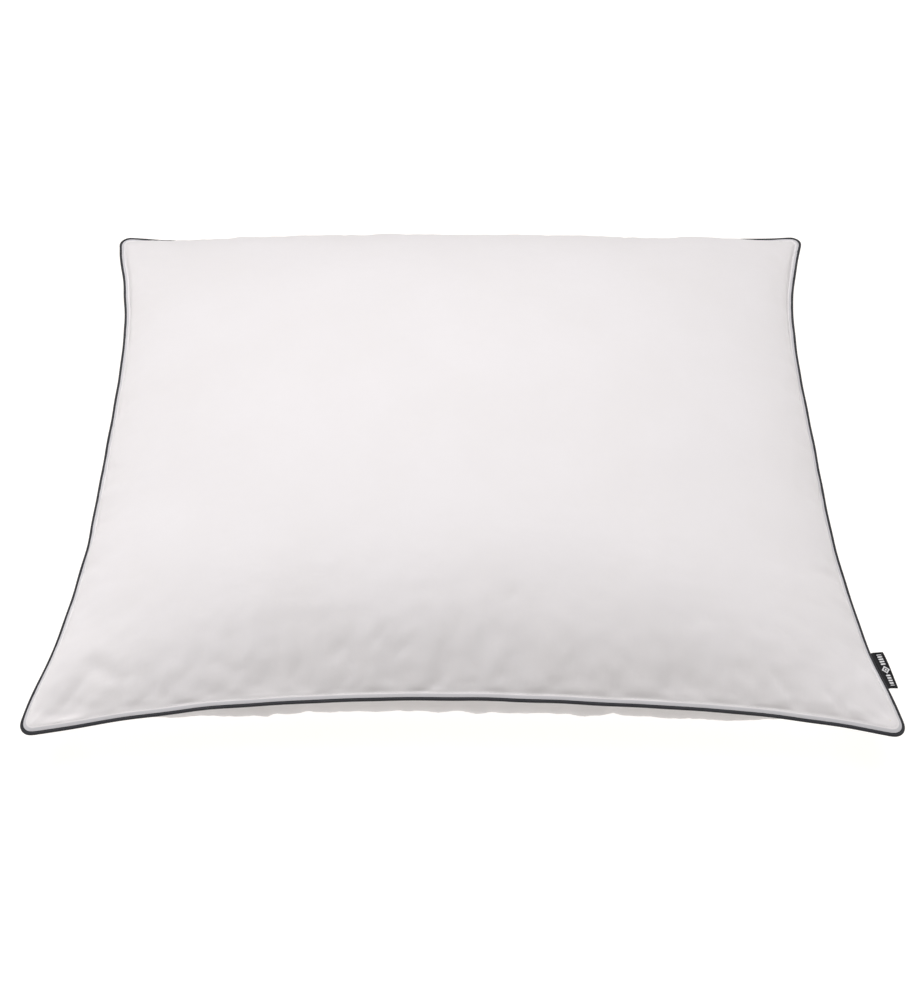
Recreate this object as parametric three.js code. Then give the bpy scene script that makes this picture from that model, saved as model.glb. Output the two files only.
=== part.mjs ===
import * as THREE from 'three';

// A stuffed bed pillow lying flat. Two ticking panels are joined by a corded seam, and a line of
// top stitching inside that seam makes a narrow flat flange all round. A folded woven label is
// sewn into the right-hand seam. Lengths are in millimetres and +Z is up. The pillow rests on
// z = 0, its long side runs along X, and its front edge faces -Y.

// Stuffed size. The panels are cut for 700 by 600 and draw in as they are filled.
const LENGTH = 690;
const WIDTH = 592;
const THICKNESS = 150;
const CORNER_RADIUS = 13;

// How far the middle of each edge is drawn in between its corners, and how flat that curve is.
const SIDE_DRAW_IN = 37;
const SIDE_DRAW_IN_POWER = 3.1;
const FRONT_DRAW_IN = 27;
const FRONT_DRAW_IN_POWER = 2.4;

// The empty tip of each corner stays square, so the seam's flare stops short of it.
const TIP_DRAW_IN = 4;
const TIP_DRAW_IN_POWER = 16;

// Height of the seam at the middle of an edge and at a corner.
const SEAM_HEIGHT = 63.5;
const SEAM_CORNER_HEIGHT = 51;
const SEAM_DROP_POWER = 2.1;

// A lower power makes a fuller panel. The base would swell below the table, so it lies flat on it.
// Towards its corners the base is slacker, and SLACK_FROM is the fraction where that begins.
const TOP_SWELL_POWER = 0.5;
const BASE_SWELL_POWER = 0.3;
const BASE_SWELL = 85;
const BASE_SLACK_POWER = 0.2;
const SLACK_FROM = 0.6;
const SLACK_TO = 0.9;

// Cloth, piping and thread. CLEAR is the space left between pieces that touch.
const CLEAR = 0.3;
const TICKING = 0.4;
const FLANGE_WIDTH = 5.8;
const FLANGE_HALF_THICKNESS = 1.45;
const PIPING_RADIUS = 1.5;
const PIPING_CLOTH = 0.3;
const PIPING_TAIL_LENGTH = 3.9;
const PIPING_TAIL_OUTER = 0.75;
const PIPING_TAIL_INNER = 0.5;
const CORD_RADIUS = PIPING_RADIUS - PIPING_CLOTH - CLEAR;
const SEAM_THREAD_RADIUS = 0.2;
const SEAM_THREAD_INSET = 2;
const STITCH_RADIUS = 0.25;
const STITCH_INSET = 5.1;
const PANEL_EDGE_INSET = 1.7;

// The label is folded at its outer end, and both its legs go into the seam.
const LABEL_WIDTH = 34;
const LABEL_REACH = 9;
const LABEL_CLOTH = 0.35;
const LABEL_HALF_THICKNESS = 0.5;
const LABEL_ROOT = 2.7;
const LABEL_CENTRE_Y = -236.5;
const LABEL_DROOP = THREE.MathUtils.degToRad(12);

// Every solid that goes round the pillow has the same columns, so neighbours stay parallel.
const EDGE_STEPS = 14;
const CORNER_STEPS = 4;
const COLUMNS = 4 * (EDGE_STEPS + CORNER_STEPS);
const PANEL_FRACTIONS = [0, 0.28, 0.52, 0.7, 0.82, 0.9, 0.95, 0.98, 0.993];
const CORD_SIDES = 7;
const THREAD_SIDES = 5;

const UP = new THREE.Vector3(0, 0, 1);

/** The pillow's flat outline, drawn in by an inset, anticlockwise from the front left corner. */
function flatOutline(inset) {
  const reachX = LENGTH / 2 - CORNER_RADIUS;
  const reachY = WIDTH / 2 - CORNER_RADIUS;
  const centres = [
    new THREE.Vector2(-reachX, -reachY),
    new THREE.Vector2(reachX, -reachY),
    new THREE.Vector2(reachX, reachY),
    new THREE.Vector2(-reachX, reachY),
  ];
  const radius = CORNER_RADIUS - inset;
  const points = [];
  const add = (centre, angle) => {
    points.push(new THREE.Vector2(Math.cos(angle), Math.sin(angle)).multiplyScalar(radius).add(centre));
  };
  centres.forEach((start, side) => {
    const end = centres[(side + 1) % centres.length];
    const facing = (side - 1) * Math.PI / 2;
    for (let step = 0; step < EDGE_STEPS; step += 1) {
      add(start.clone().lerp(end, step / EDGE_STEPS), facing);
    }
    for (let step = 0; step < CORNER_STEPS; step += 1) {
      add(end, facing + (step / CORNER_STEPS) * Math.PI / 2);
    }
  });
  return points;
}

/** A flat point as fractions of the filled area's half size, which ends at the flange. */
function filledFraction(flat) {
  return {
    s: Math.min(1, Math.abs(flat.x) / (LENGTH / 2 - FLANGE_WIDTH)),
    t: Math.min(1, Math.abs(flat.y) / (WIDTH / 2 - FLANGE_WIDTH)),
  };
}

/** Where a point of the flat outline lies once the pillow is stuffed, at the seam's own height. */
function stuffed(flat) {
  const u = flat.x / (LENGTH / 2);
  const v = flat.y / (WIDTH / 2);
  const { s, t } = filledFraction(flat);
  const sideDraw = SIDE_DRAW_IN * (1 - Math.abs(v) ** SIDE_DRAW_IN_POWER);
  const tipDraw = TIP_DRAW_IN * Math.abs(v) ** TIP_DRAW_IN_POWER;
  return new THREE.Vector3(
    flat.x - u * (sideDraw + tipDraw),
    flat.y - v * FRONT_DRAW_IN * (1 - Math.abs(u) ** FRONT_DRAW_IN_POWER),
    SEAM_HEIGHT - (SEAM_HEIGHT - SEAM_CORNER_HEIGHT) * (s * t) ** SEAM_DROP_POWER,
  );
}

/** How far the cloth swells at a flat point: 1 in the middle of the pillow and 0 at the flange. */
function swell(flat, power) {
  const { s, t } = filledFraction(flat);
  return ((1 - s * s) * (1 - t * t)) ** power;
}

/** A panel's outer face as rows of points, from the middle of the pillow to the panel's edge. */
function panelFace(heightOf) {
  const flangeLine = flatOutline(FLANGE_WIDTH);
  const rows = PANEL_FRACTIONS.map((fraction) => flangeLine.map((point) => {
    const flat = point.clone().multiplyScalar(fraction);
    const place = stuffed(flat);
    place.z = heightOf(place.z, flat);
    return place;
  }));
  for (const outline of [flangeLine, flatOutline(PANEL_EDGE_INSET)]) {
    rows.push(outline.map((flat) => {
      const place = stuffed(flat);
      place.z = heightOf(place.z, null);
      return place;
    }));
  }
  return rows;
}

function topHeight(seamHeight, flat) {
  const crown = THICKNESS - SEAM_HEIGHT - FLANGE_HALF_THICKNESS;
  const rise = flat ? crown * swell(flat, TOP_SWELL_POWER) : 0;
  return seamHeight + FLANGE_HALF_THICKNESS + rise;
}

function basePower(flat) {
  const slack = THREE.MathUtils.smoothstep(filledFraction(flat).s, SLACK_FROM, SLACK_TO);
  return BASE_SWELL_POWER + BASE_SLACK_POWER * slack;
}

function baseHeight(seamHeight, flat) {
  const fall = flat ? BASE_SWELL * swell(flat, basePower(flat)) : 0;
  return Math.max(0, seamHeight - FLANGE_HALF_THICKNESS - fall);
}

/** The same face moved along its own upward normals. */
function raised(rows, distance) {
  const lastRow = rows.length - 1;
  return rows.map((row, r) => row.map((point, column) => {
    if (r === 0) {
      return point.clone().addScaledVector(UP, distance);
    }
    const outwards = rows[Math.min(r + 1, lastRow)][column].clone().sub(rows[r - 1][column]);
    const round = row[(column + 1) % COLUMNS].clone().sub(row[(column + COLUMNS - 1) % COLUMNS]);
    return point.clone().addScaledVector(outwards.cross(round).normalize(), distance);
  }));
}

/** A solid lathed from its section at the first column, with each column moved to its own place. */
function lathed(rows) {
  const section = rows.map((row) => new THREE.Vector2(Math.hypot(row[0].x, row[0].y), row[0].z));
  const geometry = new THREE.LatheGeometry(section, COLUMNS);
  const position = geometry.getAttribute('position');
  for (let column = 0; column <= COLUMNS; column += 1) {
    rows.forEach((row, r) => {
      const point = row[column % COLUMNS];
      position.setXYZ(column * rows.length + r, point.x, point.y, point.z);
    });
  }
  geometry.computeVertexNormals();
  return geometry;
}

/**
 * A solid between a lower and an upper face, closed on the pillow's axis and at its rim. The upper
 * rows run inwards, so each of their quads is split along its other diagonal. That keeps the two
 * faces parallel where the quads are twisted.
 */
function between(lower, upper) {
  const geometry = lathed([...lower, ...upper.toReversed()]);
  const index = geometry.getIndex();
  const bands = lower.length + upper.length - 1;
  for (let quad = 0; quad < bands * COLUMNS; quad += 1) {
    if (quad % bands >= lower.length) {
      const [a, b, d, c] = [0, 1, 2, 3].map((corner) => index.getX(quad * 6 + corner));
      [a, b, c, a, c, d].forEach((vertex, corner) => index.setX(quad * 6 + corner, vertex));
    }
  }
  geometry.computeVertexNormals();
  return geometry;
}

/** The horizontal direction that points away from the pillow at each point of a closed path. */
function outwardAlong(path) {
  return path.map((point, column) => {
    const next = path[(column + 1) % path.length];
    const previous = path[(column + path.length - 1) % path.length];
    return next.clone().sub(previous).cross(UP).normalize();
  });
}

/** A closed section, drawn with x outwards and y up, carried round the pillow on a path. */
function ringAlong(path, section) {
  const outward = outwardAlong(path);
  const rows = [...section, section[0]].map((corner) => path.map((point, column) => (
    point.clone().addScaledVector(outward[column], corner.x).addScaledVector(UP, corner.y)
  )));
  return lathed(rows);
}

/** Points on an arc about the origin, anticlockwise when the second angle is larger. */
function arcPoints(radius, from, to, steps) {
  return Array.from({ length: steps + 1 }, (_, step) => {
    const angle = from + ((to - from) * step) / steps;
    return new THREE.Vector2(radius * Math.cos(angle), radius * Math.sin(angle));
  });
}

/** The regular section of a cord or a thread. */
function roundSection(radius, sides, x = 0, y = 0) {
  const points = arcPoints(radius, 0, 2 * Math.PI, sides).slice(0, sides);
  return points.map((point) => point.add(new THREE.Vector2(x, y)));
}

/** The piping's cloth: wrapped round the cord, with its two cut edges lying in the flange. */
function sleeveSection() {
  const outerEnd = Math.PI - Math.asin(PIPING_TAIL_OUTER / PIPING_RADIUS);
  const innerRadius = PIPING_RADIUS - PIPING_CLOTH;
  const innerEnd = Math.PI - Math.asin(PIPING_TAIL_INNER / innerRadius);
  return [
    new THREE.Vector2(-PIPING_TAIL_LENGTH, -PIPING_TAIL_OUTER),
    ...arcPoints(PIPING_RADIUS, -outerEnd, outerEnd, 8),
    new THREE.Vector2(-PIPING_TAIL_LENGTH, PIPING_TAIL_OUTER),
    new THREE.Vector2(-PIPING_TAIL_LENGTH, PIPING_TAIL_INNER),
    ...arcPoints(innerRadius, innerEnd, -innerEnd, 6),
    new THREE.Vector2(-PIPING_TAIL_LENGTH, -PIPING_TAIL_INNER),
  ];
}

/** The label's strip in section: two legs and the fold that joins them at the outer end. */
function labelSection() {
  const slot = LABEL_HALF_THICKNESS - LABEL_CLOTH;
  const foldX = LABEL_REACH - LABEL_HALF_THICKNESS;
  const shape = new THREE.Shape();
  shape.moveTo(0, -LABEL_HALF_THICKNESS);
  shape.lineTo(foldX, -LABEL_HALF_THICKNESS);
  shape.absarc(foldX, 0, LABEL_HALF_THICKNESS, -Math.PI / 2, Math.PI / 2, false);
  shape.lineTo(0, LABEL_HALF_THICKNESS);
  shape.lineTo(0, slot);
  shape.lineTo(foldX, slot);
  shape.absarc(foldX, 0, slot, Math.PI / 2, -Math.PI / 2, true);
  shape.lineTo(0, -slot);
  shape.closePath();
  return shape;
}

function cloth(name, geometry, color, roughness) {
  const mesh = new THREE.Mesh(geometry, new THREE.MeshStandardMaterial({ color, roughness, metalness: 0 }));
  mesh.name = name;
  return mesh;
}

/** The folded label, hanging out of the seam with its root line just clear of the piping. */
function makeLabel() {
  const geometry = new THREE.ExtrudeGeometry(labelSection(), {
    depth: LABEL_WIDTH,
    bevelEnabled: false,
    curveSegments: 4,
  });
  geometry.translate(0, 0, -LABEL_WIDTH / 2);
  const label = cloth('label', geometry, 0x1c1c1f, 0.8);
  const ends = [-1, 1].map((end) => stuffed(
    new THREE.Vector2(LENGTH / 2, LABEL_CENTRE_Y + end * LABEL_WIDTH / 2),
  ));
  const along = ends[1].clone().sub(ends[0]).normalize();
  const outward = along.clone().cross(UP).normalize();
  const upward = outward.clone().cross(along);
  label.setRotationFromMatrix(new THREE.Matrix4().makeBasis(outward, upward, along.negate()));
  label.position.copy(stuffed(new THREE.Vector2(LENGTH / 2, LABEL_CENTRE_Y)));
  label.position.addScaledVector(outward, LABEL_ROOT);
  label.rotateZ(-LABEL_DROOP);
  return label;
}

const seamPath = flatOutline(0).map(stuffed);
const stitchPath = flatOutline(STITCH_INSET).map(stuffed);
const stitchHeight = FLANGE_HALF_THICKNESS + CLEAR + STITCH_RADIUS;

const topOuter = panelFace(topHeight);
const topInner = raised(topOuter, -TICKING);
const baseOuter = panelFace(baseHeight);
const baseInner = raised(baseOuter, TICKING);
const fillRows = PANEL_FRACTIONS.length;
const fillTop = raised(topInner, -CLEAR).slice(0, fillRows);
const fillBase = raised(baseInner, CLEAR).slice(0, fillRows);

const topStitch = roundSection(STITCH_RADIUS, THREAD_SIDES, 0, stitchHeight);
const baseStitch = roundSection(STITCH_RADIUS, THREAD_SIDES, 0, -stitchHeight);
const seamStitch = roundSection(SEAM_THREAD_RADIUS, THREAD_SIDES, -SEAM_THREAD_INSET);

const pillow = new THREE.Group();
pillow.add(
  cloth('fill', between(fillBase, fillTop), 0xf3efe6, 0.95),
  cloth('top_panel', between(topInner, topOuter), 0xf1eeed, 0.85),
  cloth('bottom_panel', between(baseOuter, baseInner), 0xf1eeed, 0.85),
  cloth('piping_sleeve', ringAlong(seamPath, sleeveSection()), 0x34343a, 0.8),
  cloth('piping_cord', ringAlong(seamPath, roundSection(CORD_RADIUS, CORD_SIDES)), 0xe6e0d2, 0.9),
  cloth('seam_thread', ringAlong(seamPath, seamStitch), 0xdedad4, 0.7),
  cloth('top_stitching', ringAlong(stitchPath, topStitch), 0xf3f1ef, 0.6),
  cloth('bottom_stitching', ringAlong(stitchPath, baseStitch), 0xf3f1ef, 0.6),
  makeLabel(),
);

export default pillow;
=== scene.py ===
import math

import bpy
import numpy as np
from mathutils import Matrix, Vector, noise


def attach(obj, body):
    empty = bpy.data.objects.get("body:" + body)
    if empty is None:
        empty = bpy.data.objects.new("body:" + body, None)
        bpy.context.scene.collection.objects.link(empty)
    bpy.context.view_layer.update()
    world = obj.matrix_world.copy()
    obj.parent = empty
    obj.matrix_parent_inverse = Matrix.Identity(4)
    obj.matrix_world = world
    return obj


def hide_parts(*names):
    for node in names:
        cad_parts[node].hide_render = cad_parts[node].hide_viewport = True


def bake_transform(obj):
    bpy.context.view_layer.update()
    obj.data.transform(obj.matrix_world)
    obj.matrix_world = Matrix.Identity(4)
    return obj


# A stuffed bed pillow: two ticking panels, a corded seam with dark piping, a stitched flange
# inside it, a folded woven label in the right-hand seam and a loose down filling.
# Lengths are in metres, +Z is up, the long side runs along X and the front edge faces -Y.

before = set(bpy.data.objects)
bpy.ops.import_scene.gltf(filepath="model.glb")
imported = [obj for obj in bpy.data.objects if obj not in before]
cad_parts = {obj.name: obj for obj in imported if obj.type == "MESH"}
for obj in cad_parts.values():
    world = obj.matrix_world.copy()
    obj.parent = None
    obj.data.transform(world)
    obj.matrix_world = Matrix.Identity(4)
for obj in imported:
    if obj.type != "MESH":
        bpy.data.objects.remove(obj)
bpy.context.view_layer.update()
bpy.ops.object.select_all(action="DESELECT")

# ---------------------------------------------------------------- sizes shared with the CAD part

LENGTH = 0.690
WIDTH = 0.592
CUT_LENGTH = 0.700
CUT_WIDTH = 0.600
CORNER_RADIUS = 0.013
FLANGE = 0.0058
STITCH_INSET = 0.0051
SEAM_THREAD_INSET = 0.0021

SIDE_DRAW_IN = 0.037
SIDE_DRAW_IN_POWER = 3.1
FRONT_DRAW_IN = 0.027
FRONT_DRAW_IN_POWER = 2.4
TIP_DRAW_IN = 0.004
TIP_DRAW_IN_POWER = 16
SEAM_HEIGHT = 0.0635
SEAM_CORNER_HEIGHT = 0.051
SEAM_DROP_POWER = 2.1
TOP_SWELL = 0.0855
TOP_SWELL_POWER = 0.5
BASE_SWELL = 0.085
BASE_SWELL_POWER = 0.3
BASE_SLACK_POWER = 0.2
SLACK_FROM = 0.6
SLACK_TO = 0.9

LABEL_WIDTH = 0.034
LABEL_REACH = 0.009
LABEL_ROOT = 0.0027
LABEL_CENTRE_Y = -0.2365
LABEL_DROOP = math.radians(12)

# ---------------------------------------------------------------- cloth, piping and thread

TICKING = 0.0004
FLANGE_SLOPE_FRONT = 0.50
FLANGE_SLOPE_BACK = 0.02
FLANGE_ROWS = [
    # distance in from the seam, height of the cloth's middle layer above the seam
    (0.0058, 0.00062),
    (0.0051, 0.00050),
    (0.0043, 0.00070),
    (0.0034, 0.00076),
    (0.0026, 0.00072),
    (0.0020, 0.00062),
    (0.0014, 0.00043),
]
PIPING_RADIUS = 0.00114
PIPING_CLOTH = 0.00022
PIPING_TAIL = 0.0038
PIPING_TAIL_INNER = 0.00021
PIPING_TAIL_OUTER = 0.00038
CORD_RADIUS = 0.00084
CORD_LAY = 0.0078
STITCH_LENGTH = 0.0030
STITCH_PITCH = 0.0036
STITCH_THICKNESS = 0.00042
SEAM_STITCH_THICKNESS = 0.00034
LABEL_CLOTH = 0.00028
LABEL_SKEW = 0.0018

# ---------------------------------------------------------------- the panels' grid

STITCH_CORNER = CORNER_RADIUS - FLANGE
STITCH_HALF = np.array([LENGTH / 2 - FLANGE, WIDTH / 2 - FLANGE])
CUT_SCALE = np.array([CUT_LENGTH / LENGTH, CUT_WIDTH / WIDTH])
EDGE_LINES = np.array([0, 0.3, 0.62, 1, 1.6, 2.4, 3.3]) * STITCH_CORNER
CELL = 0.0076

# Cloth simulation.
SETTLING_FRAMES = 30
STUFFING = 1.03
REST_SCALE = 1.003

# The filling has slipped back from the front seam, so the cloth there falls in a long slope,
# and it stands a little higher further in.
SHOULDER_DROP = 0.0106
SHOULDER_REACH = 0.010
CROWN_RISE = 0.0030
CROWN_PLACE = 0.100
CROWN_REACH = 0.050

# Places where the sewn seam leaves its even curve: centre, how far along the seam it reaches,
# and the shift there.
SEAM_SHIFTS = [
    ((-0.345, -0.258), 0.018, (-0.0010, 0.0, 0.0)),
    ((-0.345, -0.115), 0.022, (0.0009, 0.0, 0.0)),
    ((-0.345, 0.195), 0.022, (-0.0006, 0.0, 0.0)),
    ((-0.345, 0.290), 0.022, (0.0036, -0.0016, -0.0010)),
    ((-0.290, 0.296), 0.060, (0.0, -0.0022, -0.0018)),
    ((0.250, 0.296), 0.035, (0.0, 0.0014, 0.0014)),
    ((0.345, 0.190), 0.024, (-0.0008, 0.0, 0.0)),
    ((0.345, 0.010), 0.090, (0.0011, 0.0, 0.0)),
    ((0.345, -0.170), 0.030, (0.0008, 0.0, 0.0)),
    ((0.345, -0.264), 0.022, (0.0014, 0.0, 0.0)),
    ((0.120, -0.296), 0.090, (0.0, -0.0016, -0.0014)),
    ((-0.190, -0.296), 0.030, (0.0, 0.0005, 0.0003)),
    ((-0.305, -0.296), 0.022, (0.0, -0.0004, -0.0002)),
    ((-0.345, -0.292), 0.016, (0.0014, 0.0010, 0.0006)),
]

# Pulled folds in the top panel: start, end, width and depth.
TOP_FOLDS = [
    ((-0.303, -0.250), (-0.268, -0.272), 0.0075, 0.0017),
    ((-0.341, -0.038), (-0.318, -0.061), 0.0045, 0.0010),
    ((-0.341, -0.100), (-0.318, -0.115), 0.0045, 0.0010),
    ((-0.341, -0.146), (-0.310, -0.169), 0.0050, 0.0012),
    ((-0.070, -0.262), (-0.060, -0.250), 0.0040, 0.0010),
    ((-0.054, -0.270), (-0.038, -0.259), 0.0040, 0.0011),
    ((-0.023, -0.278), (-0.015, -0.265), 0.0035, 0.0009),
    ((-0.101, -0.270), (-0.092, -0.259), 0.0035, 0.0007),
    ((0.093, -0.280), (0.096, -0.268), 0.0035, 0.0007),
    ((0.147, -0.280), (0.143, -0.268), 0.0035, 0.0007),
    ((0.036, -0.234), (0.044, -0.226), 0.0040, 0.0006),
    ((0.338, -0.160), (0.308, -0.170), 0.0050, 0.0012),
    ((0.262, -0.286), (0.246, -0.268), 0.0055, 0.0010),
    ((0.300, -0.286), (0.288, -0.272), 0.0050, 0.0009),
    ((0.339, 0.184), (0.322, 0.180), 0.0045, 0.0008),
    ((0.341, 0.138), (0.325, 0.132), 0.0045, 0.0008),
    ((-0.336, 0.190), (-0.316, 0.176), 0.0045, 0.0008),
    ((-0.120, 0.288), (-0.112, 0.268), 0.0045, 0.0008),
    ((0.160, 0.288), (0.166, 0.270), 0.0045, 0.0008),
]

BASE_FOLDS = [
    ((-0.150, -0.290), (-0.140, -0.240), 0.0080, 0.0014),
    ((0.120, -0.290), (0.128, -0.236), 0.0090, 0.0014),
    ((-0.340, 0.060), (-0.290, 0.050), 0.0080, 0.0014),
    ((0.340, -0.040), (0.286, -0.036), 0.0080, 0.0014),
    ((0.060, 0.290), (0.054, 0.236), 0.0080, 0.0014),
]


# The filling lies deeper than the deepest dent in the cloth.
DEEPEST_DENT = 0.0030
FILLING_DEPTH = 0.0046
FILLING_LUMPS = 0.0011

# ---------------------------------------------------------------- where the cloth lies


def seam_shift(flat):
    """How far hand guiding has moved the cloth at flat points, most of all at the seam."""
    x = flat[..., 0]
    y = flat[..., 1]
    side = (np.abs(x) / (LENGTH / 2)) ** 6
    front = (np.abs(y) / (WIDTH / 2)) ** 6
    along_side = 0.14 * np.sin(131 * y + 2.0 * np.sign(x))
    along_front = 0.14 * np.sin(113 * x + 0.7 * np.sign(y))
    rise = 0.16 * np.sin(89 * x + 0.5) * front + 0.16 * np.sin(97 * y + 1.9) * side
    shift = 0.001 * np.stack([along_side * side, along_front * front, rise], axis=-1)
    for centre, reach, move in SEAM_SHIFTS:
        distance = np.linalg.norm(flat - np.array(centre), axis=-1)
        shift += np.exp(-((distance / reach) ** 2))[..., None] * np.array(move)
    return shift


def stuffed(flat):
    """Where flat points lie once the pillow is stuffed, at the seam's own height."""
    x = flat[..., 0]
    y = flat[..., 1]
    u = x / (LENGTH / 2)
    v = y / (WIDTH / 2)
    s, t = filled_fraction(flat)
    side_draw = SIDE_DRAW_IN * (1 - np.abs(v) ** SIDE_DRAW_IN_POWER)
    tip_draw = TIP_DRAW_IN * np.abs(v) ** TIP_DRAW_IN_POWER
    place = np.stack([
        x - u * (side_draw + tip_draw),
        y - v * FRONT_DRAW_IN * (1 - np.abs(u) ** FRONT_DRAW_IN_POWER),
        SEAM_HEIGHT - (SEAM_HEIGHT - SEAM_CORNER_HEIGHT) * (s * t) ** SEAM_DROP_POWER,
    ], axis=-1)
    place[..., 2] += flange_slope(flat) * distance_in(flat)
    return place + seam_shift(flat)


def distance_in(flat):
    """How far flat points lie in from the seam, up to the width of the flange."""
    beyond = np.abs(flat) - (np.array([LENGTH / 2, WIDTH / 2]) - CORNER_RADIUS)
    round_corner = np.linalg.norm(np.maximum(beyond, 0), axis=-1)
    inset = CORNER_RADIUS - round_corner - np.minimum(beyond.max(axis=-1), 0)
    return np.clip(inset, 0, FLANGE)


def flange_slope(flat):
    """How steeply the flange rises inwards: most at the front, and hardly at all at the back."""
    towards_back = 0.5 + flat[..., 1] / WIDTH
    return FLANGE_SLOPE_FRONT + (FLANGE_SLOPE_BACK - FLANGE_SLOPE_FRONT) * towards_back


def filled_fraction(flat):
    """Flat points as fractions of the filled area's half size, which ends at the flange."""
    fraction = np.minimum(1, np.abs(flat) / STITCH_HALF)
    return fraction[..., 0], fraction[..., 1]


def rounded(grid, reach_out=0.0):
    """Turns the corner squares of a panel's grid into arcs, and moves its outline outwards."""
    over = np.maximum(np.abs(grid) - (STITCH_HALF - STITCH_CORNER), 0)
    reach = over.max(axis=-1)
    angle = math.pi / 4 * over.min(axis=-1) / np.maximum(reach, 1e-9)
    far = (reach + reach_out) * np.cos(angle)
    near = (reach + reach_out) * np.sin(angle)
    beyond_side = over[..., 0] >= over[..., 1]
    arc = np.stack([np.where(beyond_side, far, near), np.where(beyond_side, near, far)], axis=-1)
    return np.sign(grid) * (np.abs(grid) - over + arc)


def grid_lines(half):
    """Lines across a panel, closer together where the cloth bends at the stitch line."""
    near = half - EDGE_LINES
    cells = round(2 * near[-1] / CELL)
    middle = np.linspace(-near[-1], near[-1], cells + 1)[1:-1]
    return np.concatenate([-near, middle, near[::-1]])


def panel_grid():
    """The filled area's grid of flat points, row by row from the front."""
    across, along = np.meshgrid(grid_lines(STITCH_HALF[0]), grid_lines(STITCH_HALF[1]))
    return np.stack([across, along], axis=-1)


GRID = panel_grid()


def perimeter(grid):
    """The outline of a grid of anything, anticlockwise from its front left corner."""
    return np.concatenate([grid[0, :-1], grid[:-1, -1], grid[-1, :0:-1], grid[:0:-1, 0]])


def seam_line(inset, rise=0.0):
    """A closed line round the pillow, a distance in from the seam and raised above it."""
    line = stuffed(rounded(perimeter(GRID), FLANGE - inset))
    line[:, 2] += rise
    return line


def quads(numbers):
    """The faces between the rows of a grid of vertex numbers, seen from above."""
    corners = [numbers[:-1, :-1], numbers[:-1, 1:], numbers[1:, 1:], numbers[1:, :-1]]
    return np.stack(corners, axis=-1).reshape(-1, 4)


# ---------------------------------------------------------------- small helpers


def new_mesh(name, points, faces):
    mesh = bpy.data.meshes.new(name)
    mesh.from_pydata(np.asarray(points).tolist(), [], np.asarray(faces).tolist())
    mesh.update()
    piece = bpy.data.objects.new(name, mesh)
    bpy.context.scene.collection.objects.link(piece)
    return piece


def choose(piece):
    """Makes one object the only selected one, for the next operator."""
    bpy.ops.object.select_all(action="DESELECT")
    bpy.context.view_layer.objects.active = piece
    piece.select_set(True)


def apply_modifier(piece, kind, **settings):
    choose(piece)
    modifier = piece.modifiers.new(kind.lower(), kind)
    for name, value in settings.items():
        setattr(modifier, name, value)
    bpy.ops.object.modifier_apply(modifier=modifier.name)


def face_outwards(piece):
    choose(piece)
    bpy.ops.object.mode_set(mode="EDIT")
    bpy.ops.mesh.select_all(action="SELECT")
    bpy.ops.mesh.normals_make_consistent(inside=False)
    bpy.ops.object.mode_set(mode="OBJECT")


def smooth(piece, degrees=50):
    choose(piece)
    bpy.ops.object.shade_smooth_by_angle(angle=math.radians(degrees))


def points_of(piece):
    values = np.empty(len(piece.data.vertices) * 3)
    piece.data.vertices.foreach_get("co", values)
    return values.reshape(-1, 3)


def normals_of(piece):
    values = np.empty(len(piece.data.vertices) * 3)
    piece.data.vertex_normals.foreach_get("vector", values)
    return values.reshape(-1, 3)


def set_points(piece, points):
    piece.data.vertices.foreach_set("co", np.asarray(points).ravel())
    piece.data.update()


def smooth_step(value):
    value = np.clip(value, 0, 1)
    return value * value * (3 - 2 * value)


def noise_along(values, seed):
    """Smooth noise between about -1 and 1 for each number."""
    return np.array([2 * noise.noise(Vector((value, seed, 0.37))) for value in values])


# ---------------------------------------------------------------- stuffing the case


def swollen(flat, direction):
    """The start shape of one panel: its seam level, plus or minus the swell of the filling."""
    place = stuffed(rounded(flat))
    s, t = filled_fraction(flat)
    full = (1 - s * s) * (1 - t * t)
    if direction > 0:
        place[..., 2] += TOP_SWELL * full ** TOP_SWELL_POWER
    else:
        slack = smooth_step((s - SLACK_FROM) / (SLACK_TO - SLACK_FROM))
        place[..., 2] -= BASE_SWELL * full ** (BASE_SWELL_POWER + BASE_SLACK_POWER * slack)
        place[..., 2] = np.maximum(place[..., 2], 0.0022)
    return place


def front_shoulder(flat):
    """How much lower the cloth lies behind the front seam than in an evenly filled case."""
    depth = np.maximum(STITCH_HALF[1] + flat[..., 1], 0)
    share = depth / SHOULDER_REACH
    s, _ = filled_fraction(flat)
    drop = SHOULDER_DROP * np.sqrt(share) * np.exp((1 - share) / 2)
    crown = CROWN_RISE * np.exp(-(((depth - CROWN_PLACE) / CROWN_REACH) ** 2))
    return (drop - crown * smooth_step(share)) * np.sqrt(1 - s * s)


def case_numbers():
    """Vertex numbers of the top and bottom grids. They share the vertices of the stitch line."""
    rows, columns = GRID.shape[:2]
    top = np.arange(rows * columns).reshape(rows, columns)
    inside = np.zeros((rows, columns), bool)
    inside[1:-1, 1:-1] = True
    bottom = top.copy()
    bottom[inside] = rows * columns + np.arange(inside.sum())
    return top, bottom, inside


def make_case():
    """The case as one closed skin, with its cut pattern kept as a second shape."""
    top, bottom, inside = case_numbers()
    upper = swollen(GRID, 1)
    lower = swollen(GRID, -1)
    pattern = rounded(GRID) * CUT_SCALE * REST_SCALE
    pattern = np.concatenate([pattern, np.zeros_like(pattern[..., :1])], axis=-1)
    start = np.concatenate([upper.reshape(-1, 3), lower[inside]])
    cut = np.concatenate([pattern.reshape(-1, 3), pattern[inside]])
    case = new_mesh("case", start, np.concatenate([quads(top), quads(bottom)[:, ::-1]]))
    case.shape_key_add(name="start")
    cut_shape = case.shape_key_add(name="cut")
    cut_shape.data.foreach_set("co", cut.ravel())
    cut_shape.value = 0
    stitched = case.vertex_groups.new(name="stitched")
    stitched.add(perimeter(top).tolist(), 1.0, "REPLACE")
    return case


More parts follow.
